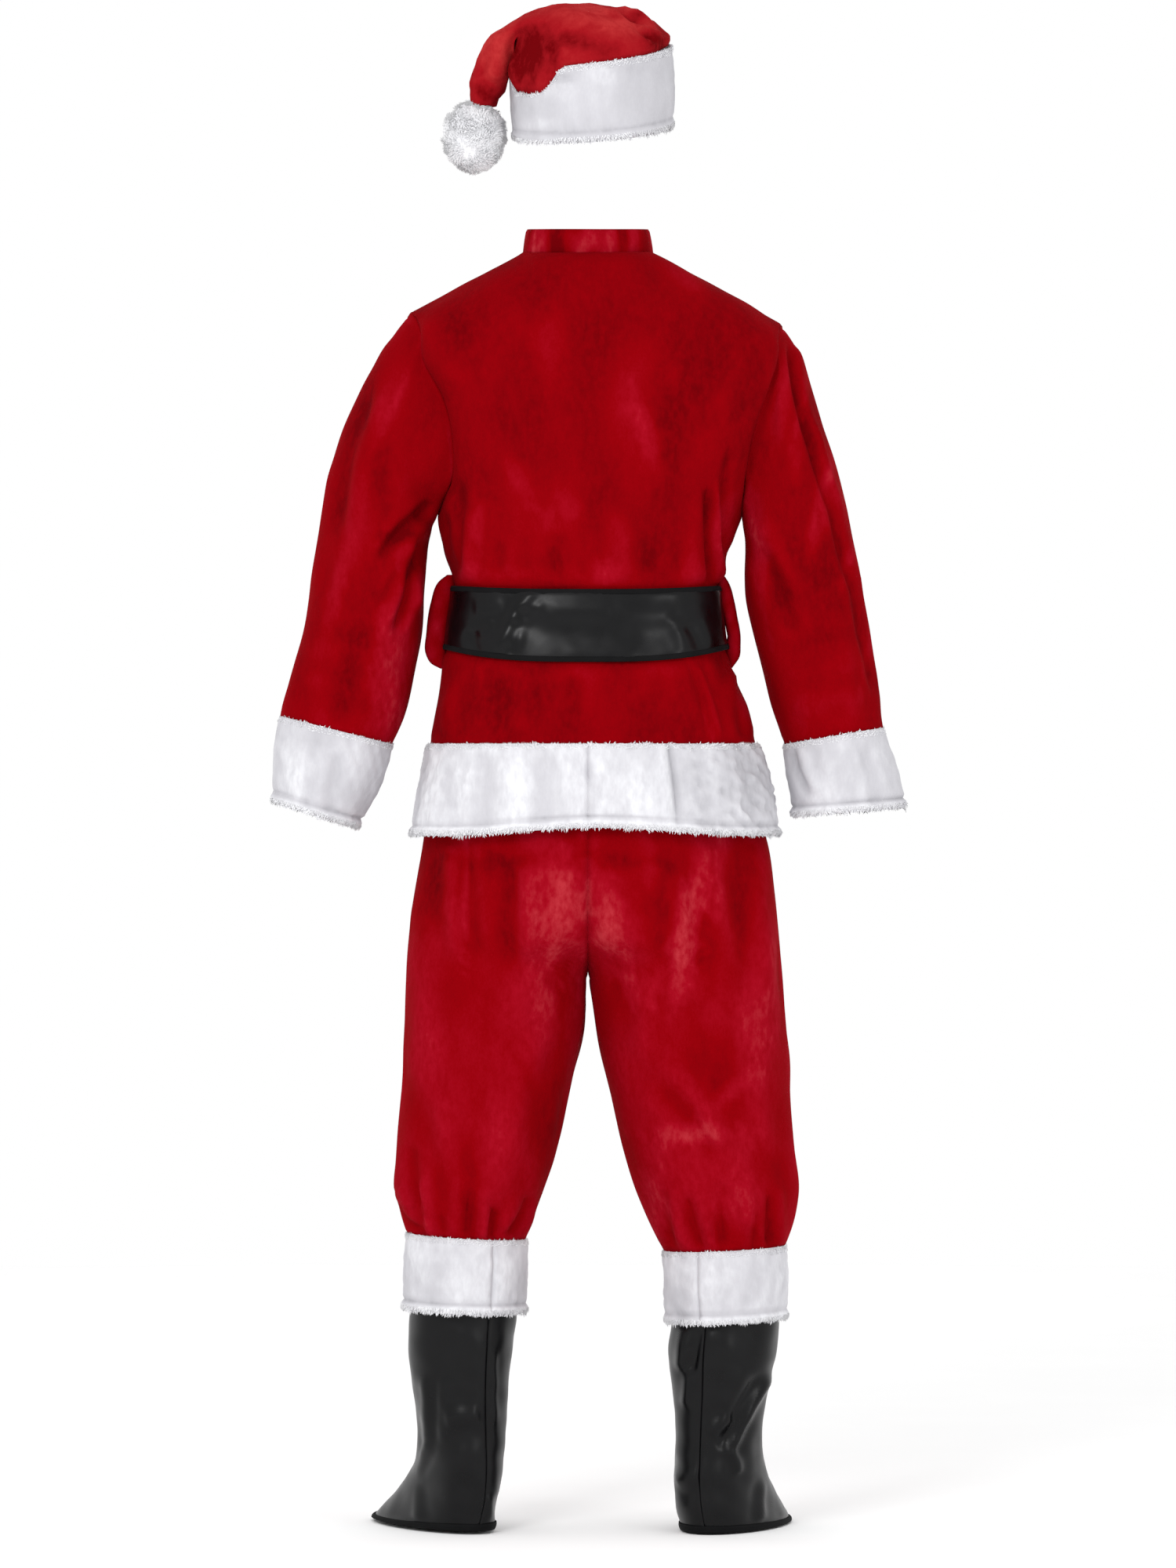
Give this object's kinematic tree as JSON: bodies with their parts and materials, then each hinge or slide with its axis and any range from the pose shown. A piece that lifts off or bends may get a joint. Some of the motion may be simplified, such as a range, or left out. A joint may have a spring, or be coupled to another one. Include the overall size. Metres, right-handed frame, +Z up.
{
  "type": "santa suit",
  "caption": "Hollow worn santa suit: red plush hat, jacket and trousers with white pile bands, black belt with a plain buckle, and black boot covers.",
  "frame": {"origin": "the point between the shoulders at the base of the neck, where the wearer holds the suit up", "axes": "+Z up the wearer's spine, -Y the way the suit faces, +X the wearer's left"},
  "size_m": [0.765, 0.3196, 1.8395],
  "materials": {
    "red_plush": "short red polyester plush with a soft sheen",
    "white_plush": "deep white pile, matt",
    "black_vinyl": "soft black vinyl, wrinkled, half gloss",
    "black_tape": "matt black woven binding tape",
    "buckle_metal": "plain yellow metal, polished"
  },
  "bodies": {
    "root": {"hat_crown": "red_plush", "hat_band": "white_plush", "hat_pompom": "white_plush", "jacket_back": "red_plush", "jacket_front_left": "red_plush", "jacket_front_right": "red_plush", "sleeve_left": "red_plush", "sleeve_right": "red_plush", "sleeve_cuff_left": "white_plush", "sleeve_cuff_right": "white_plush", "jacket_collar": "red_plush", "hem_band_left": "white_plush", "hem_band_right": "white_plush", "belt_loop_left": "red_plush", "belt_loop_right": "red_plush", "belt_strap": "black_vinyl", "belt_binding_top": "black_tape", "belt_binding_bottom": "black_tape", "belt_buckle": "buckle_metal", "trouser_back_left": "red_plush", "trouser_back_right": "red_plush", "trouser_front_left": "red_plush", "trouser_front_right": "red_plush", "waistband": "red_plush", "leg_cuff_left": "white_plush", "leg_cuff_right": "white_plush", "boot_left_outer": "black_vinyl", "boot_left_inner": "black_vinyl", "boot_left_binding": "black_tape", "boot_right_outer": "black_vinyl", "boot_right_inner": "black_vinyl", "boot_right_binding": "black_tape"}
  },
  "joints": []
}
